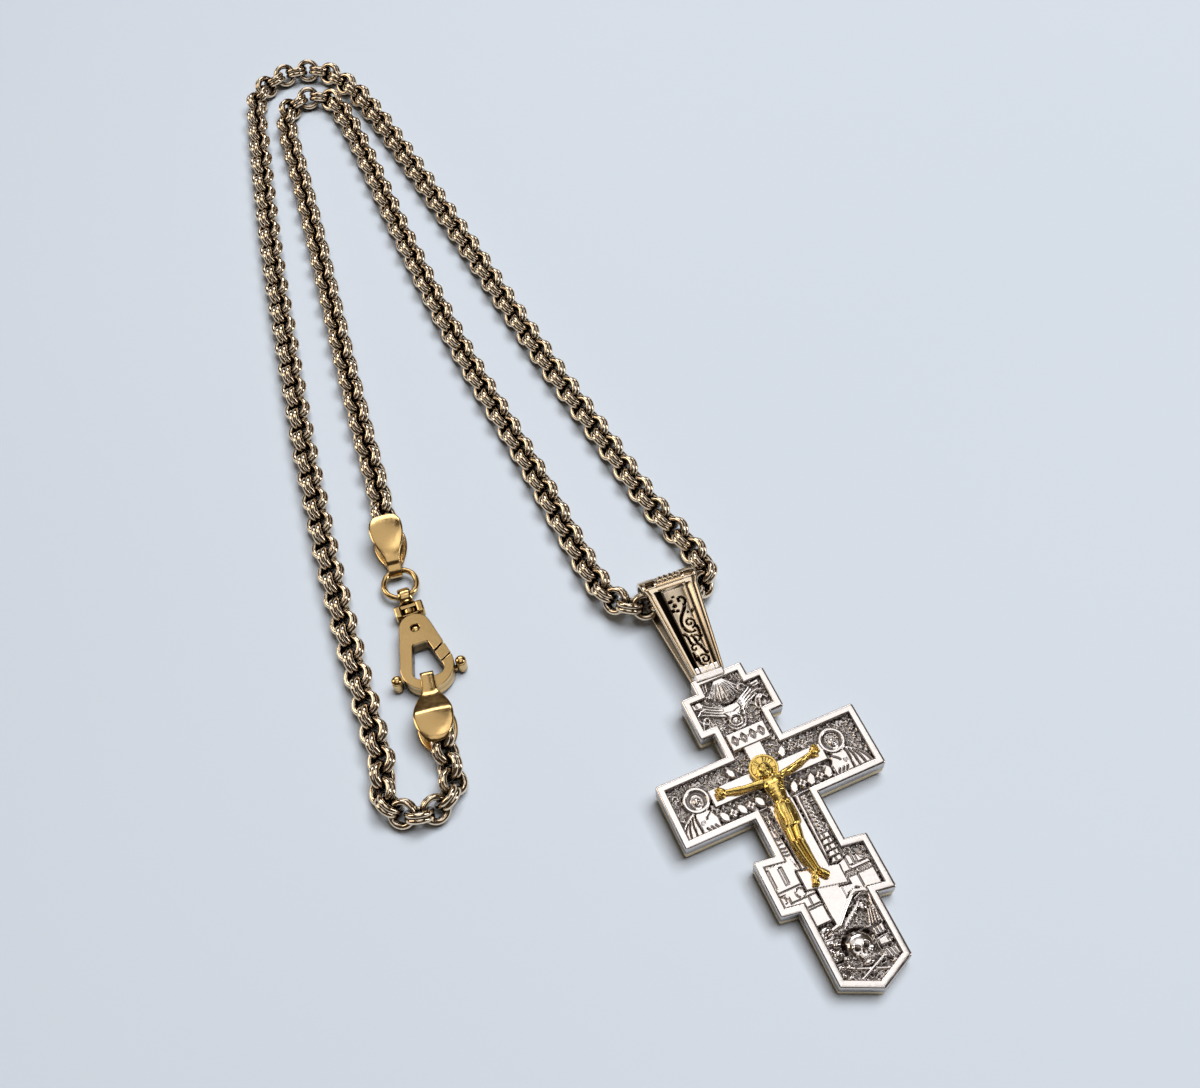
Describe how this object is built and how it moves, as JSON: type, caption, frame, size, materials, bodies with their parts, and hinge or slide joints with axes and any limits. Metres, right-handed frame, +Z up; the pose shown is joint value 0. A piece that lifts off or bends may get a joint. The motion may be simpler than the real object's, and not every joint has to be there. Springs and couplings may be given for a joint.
{
  "type": "crucifix pendant necklace",
  "caption": "Eight-ended two-tone crucifix pendant with a tapered bail on a double-ring chain that closes with a two-jaw clasp, lying flat.",
  "frame": {"origin": "middle of the bounding box's bottom face, on the table", "axes": "+Z up from the table; +Y along the chain's long loop, away from the pendant's foot; the pendant lies on the +X side"},
  "size_m": [0.096, 0.1874, 0.0064],
  "materials": {
    "white_gold": "polished",
    "yellow_gold": "polished",
    "rose_gold": "polished"
  },
  "bodies": {
    "necklace": {"cross_and_bail": "white_gold", "back_plate": "yellow_gold", "corpus": "yellow_gold", "chain_short": "rose_gold", "chain_long": "rose_gold", "end_cap_a": "rose_gold", "jump_ring": "rose_gold", "swivel_eye": "rose_gold", "clasp_yoke": "rose_gold", "pivot_pin": "rose_gold", "end_cap_b": "rose_gold"},
    "upper_jaw": {"jaw_upper": "rose_gold"},
    "lower_jaw": {"jaw_lower": "rose_gold"}
  },
  "joints": [
    {"name": "upper_jaw_pivot", "type": "hinge", "parent": "necklace", "child": "upper_jaw", "pos_m": [-0.016, -0.0361, 0.0018], "axis": [0, 0, -1], "range_deg": [0, 5], "stiffness_Nm_per_rad": 0.002},
    {"name": "lower_jaw_pivot", "type": "hinge", "parent": "necklace", "child": "lower_jaw", "pos_m": [-0.016, -0.0361, 0.0018], "axis": [0, 0, 1], "range_deg": [0, 5], "stiffness_Nm_per_rad": 0.002}
  ]
}
